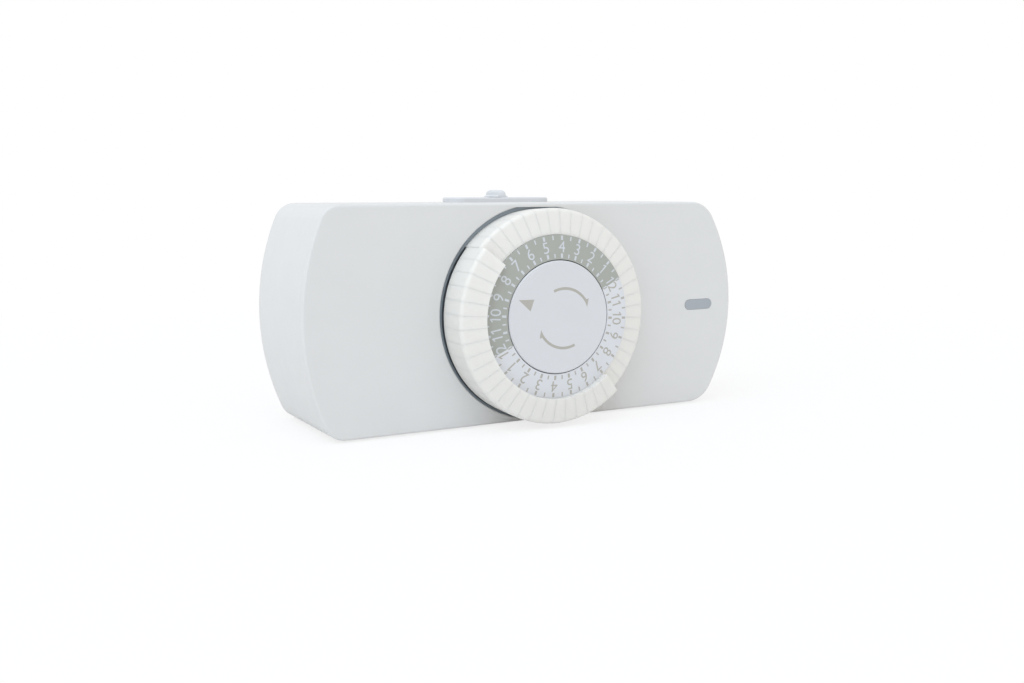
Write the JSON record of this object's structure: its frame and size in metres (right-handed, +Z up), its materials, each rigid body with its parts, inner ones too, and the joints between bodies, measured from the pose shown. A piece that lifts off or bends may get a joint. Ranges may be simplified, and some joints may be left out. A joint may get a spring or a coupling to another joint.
{
  "type": "mechanical plug-in timer",
  "caption": "Plug-in timer with a turning dial of sliding tabs, a gear train, a trip lever, an override slide and grounded outlets in its base.",
  "frame": {"origin": "on the rear face, on the dial's axis, between the plug's blades", "axes": "+X to the right seen from the front, +Y out of the rear face along the plug, +Z up"},
  "size_m": [0.1643, 0.0843, 0.0785],
  "materials": {
    "housing": "fine satin moulded",
    "back_plate": "fine satin moulded",
    "screw_steel": "zinc plated",
    "plug_brass": "drawn",
    "bus_brass": "stamped",
    "mechanism_plastic": "moulded",
    "motor_steel": "drawn can",
    "gear_plastic": "moulded acetal",
    "axle_steel": "ground",
    "spring_steel": "tempered",
    "carrier_grey": "moulded",
    "scale_print": "printed ring",
    "cap_plastic": "fine satin moulded",
    "lever_plastic": "moulded acetal",
    "switch_black": "moulded",
    "plunger_red": "moulded",
    "switch_plate": "fine satin moulded",
    "knob_plastic": "fine satin moulded",
    "lens": "tinted smooth",
    "led": "clear tinted",
    "outlet_plastic": "moulded",
    "tab_plastic": "moulded"
  },
  "bodies": {
    "case": {"back_plate": "back_plate", "centre_cap": "cap_plastic", "centre_post": "axle_steel", "gear_axles": "axle_steel", "ground_bus": "bus_brass", "housing": "housing", "housing_screws": "screw_steel", "led_lamp": "led", "led_lens": "lens", "lever_pin": "axle_steel", "load_bus": "bus_brass", "mechanism_plate": "mechanism_plastic", "mechanism_screws": "screw_steel", "microswitch_body": "switch_black", "motor_body": "motor_steel", "motor_screws": "screw_steel", "neutral_bus": "bus_brass", "outlet_left": "outlet_plastic", "outlet_right": "outlet_plastic", "override_switch": "switch_black", "plug_ground_pin": "plug_brass", "plug_hot_blade": "plug_brass", "plug_neutral_blade": "plug_brass", "retaining_ring": "spring_steel", "switch_plate": "switch_plate"},
    "drive": {"drive_gear": "gear_plastic", "clutch_washer": "spring_steel"},
    "dial": {"dial_carrier": "carrier_grey", "scale_ring": "scale_print"},
    "first_gear": {"first_compound_gear": "gear_plastic"},
    "second_gear": {"second_compound_gear": "gear_plastic"},
    "motor_shaft": {"motor_pinion": "gear_plastic"},
    "lever": {"trip_lever": "lever_plastic"},
    "plunger": {"microswitch_plunger": "plunger_red"},
    "override": {"override_knob": "knob_plastic"},
    "hour_00": {"tabs_hour_00": "tab_plastic"},
    "hour_01": {"tabs_hour_01": "tab_plastic"},
    "hour_02": {"tabs_hour_02": "tab_plastic"},
    "hour_03": {"tabs_hour_03": "tab_plastic"},
    "hour_04": {"tabs_hour_04": "tab_plastic"},
    "hour_05": {"tabs_hour_05": "tab_plastic"},
    "hour_06": {"tabs_hour_06": "tab_plastic"},
    "hour_07_first": {"tabs_hour_07_first": "tab_plastic"},
    "hour_07_second": {"tabs_hour_07_second": "tab_plastic"},
    "hour_08": {"tabs_hour_08": "tab_plastic"},
    "hour_09": {"tabs_hour_09": "tab_plastic"},
    "hour_10": {"tabs_hour_10": "tab_plastic"},
    "hour_11": {"tabs_hour_11": "tab_plastic"},
    "hour_12": {"tabs_hour_12": "tab_plastic"},
    "hour_13": {"tabs_hour_13": "tab_plastic"},
    "hour_14": {"tabs_hour_14": "tab_plastic"},
    "hour_15": {"tabs_hour_15": "tab_plastic"},
    "hour_16": {"tabs_hour_16": "tab_plastic"},
    "hour_17": {"tabs_hour_17": "tab_plastic"},
    "hour_18": {"tabs_hour_18": "tab_plastic"},
    "hour_19": {"tabs_hour_19": "tab_plastic"},
    "hour_20": {"tabs_hour_20": "tab_plastic"},
    "hour_21": {"tabs_hour_21": "tab_plastic"},
    "hour_22": {"tabs_hour_22": "tab_plastic"},
    "hour_23": {"tabs_hour_23": "tab_plastic"}
  },
  "joints": [
    {"name": "clock_drive", "type": "hinge", "parent": "case", "child": "drive", "pos_m": [0, -0.0355, 0], "axis": [0, -1, 0], "continuous": true},
    {"name": "dial_setting", "type": "hinge", "parent": "drive", "child": "dial", "pos_m": [0, -0.048, 0], "axis": [0, -1, 0], "continuous": true},
    {"name": "first_gear_spin", "type": "hinge", "parent": "case", "child": "first_gear", "pos_m": [0.02294, -0.0355, 0.01606], "axis": [0, -1, 0], "continuous": true},
    {"name": "second_gear_spin", "type": "hinge", "parent": "case", "child": "second_gear", "pos_m": [0.04037, -0.0355, 0.01758], "axis": [0, -1, 0], "continuous": true},
    {"name": "motor_spin", "type": "hinge", "parent": "case", "child": "motor_shaft", "pos_m": [0.02603, -0.0355, 0.00755], "axis": [0, -1, 0], "continuous": true},
    {"name": "lever_rock", "type": "hinge", "parent": "case", "child": "lever", "pos_m": [-0.062, -0.0356, 0.0103], "axis": [0, 0, 1], "range_deg": [0, 5.6]},
    {"name": "plunger_slide", "type": "slide", "parent": "case", "child": "plunger", "axis": [0, 1, 0], "range_m": [0, 0.00125]},
    {"name": "override_slide", "type": "slide", "parent": "case", "child": "override", "axis": [1, 0, 0], "range_m": [-0.004, 0.004]},
    {"name": "hour_00_pull", "type": "slide", "parent": "dial", "child": "hour_00", "axis": [0, -1, 0], "range_m": [0, 0.0033]},
    {"name": "hour_01_pull", "type": "slide", "parent": "dial", "child": "hour_01", "axis": [0, -1, 0], "range_m": [0, 0.0033]},
    {"name": "hour_02_pull", "type": "slide", "parent": "dial", "child": "hour_02", "axis": [0, -1, 0], "range_m": [0, 0.0033]},
    {"name": "hour_03_pull", "type": "slide", "parent": "dial", "child": "hour_03", "axis": [0, -1, 0], "range_m": [0, 0.0033]},
    {"name": "hour_04_pull", "type": "slide", "parent": "dial", "child": "hour_04", "axis": [0, -1, 0], "range_m": [0, 0.0033]},
    {"name": "hour_05_pull", "type": "slide", "parent": "dial", "child": "hour_05", "axis": [0, -1, 0], "range_m": [0, 0.0033]},
    {"name": "hour_06_pull", "type": "slide", "parent": "dial", "child": "hour_06", "axis": [0, -1, 0], "range_m": [0, 0.0033]},
    {"name": "hour_07_first_pull", "type": "slide", "parent": "dial", "child": "hour_07_first", "axis": [0, -1, 0], "range_m": [0, 0.0033]},
    {"name": "hour_07_second_push", "type": "slide", "parent": "dial", "child": "hour_07_second", "axis": [0, 1, 0], "range_m": [0, 0.0033]},
    {"name": "hour_08_push", "type": "slide", "parent": "dial", "child": "hour_08", "axis": [0, 1, 0], "range_m": [0, 0.0033]},
    {"name": "hour_09_push", "type": "slide", "parent": "dial", "child": "hour_09", "axis": [0, 1, 0], "range_m": [0, 0.0033]},
    {"name": "hour_10_push", "type": "slide", "parent": "dial", "child": "hour_10", "axis": [0, 1, 0], "range_m": [0, 0.0033]},
    {"name": "hour_11_push", "type": "slide", "parent": "dial", "child": "hour_11", "axis": [0, 1, 0], "range_m": [0, 0.0033]},
    {"name": "hour_12_push", "type": "slide", "parent": "dial", "child": "hour_12", "axis": [0, 1, 0], "range_m": [0, 0.0033]},
    {"name": "hour_13_push", "type": "slide", "parent": "dial", "child": "hour_13", "axis": [0, 1, 0], "range_m": [0, 0.0033]},
    {"name": "hour_14_push", "type": "slide", "parent": "dial", "child": "hour_14", "axis": [0, 1, 0], "range_m": [0, 0.0033]},
    {"name": "hour_15_push", "type": "slide", "parent": "dial", "child": "hour_15", "axis": [0, 1, 0], "range_m": [0, 0.0033]},
    {"name": "hour_16_push", "type": "slide", "parent": "dial", "child": "hour_16", "axis": [0, 1, 0], "range_m": [0, 0.0033]},
    {"name": "hour_17_push", "type": "slide", "parent": "dial", "child": "hour_17", "axis": [0, 1, 0], "range_m": [0, 0.0033]},
    {"name": "hour_18_push", "type": "slide", "parent": "dial", "child": "hour_18", "axis": [0, 1, 0], "range_m": [0, 0.0033]},
    {"name": "hour_19_pull", "type": "slide", "parent": "dial", "child": "hour_19", "axis": [0, -1, 0], "range_m": [0, 0.0033]},
    {"name": "hour_20_pull", "type": "slide", "parent": "dial", "child": "hour_20", "axis": [0, -1, 0], "range_m": [0, 0.0033]},
    {"name": "hour_21_pull", "type": "slide", "parent": "dial", "child": "hour_21", "axis": [0, -1, 0], "range_m": [0, 0.0033]},
    {"name": "hour_22_pull", "type": "slide", "parent": "dial", "child": "hour_22", "axis": [0, -1, 0], "range_m": [0, 0.0033]},
    {"name": "hour_23_pull", "type": "slide", "parent": "dial", "child": "hour_23", "axis": [0, -1, 0], "range_m": [0, 0.0033]}
  ],
  "couplings": [
    {"joint": "first_gear_spin", "follows": "clock_drive", "ratio": -6},
    {"joint": "second_gear_spin", "follows": "clock_drive", "ratio": 24},
    {"joint": "motor_spin", "follows": "clock_drive", "ratio": -96},
    {"joint": "plunger_slide", "follows": "lever_rock", "m_per_rad": 0.012}
  ]
}
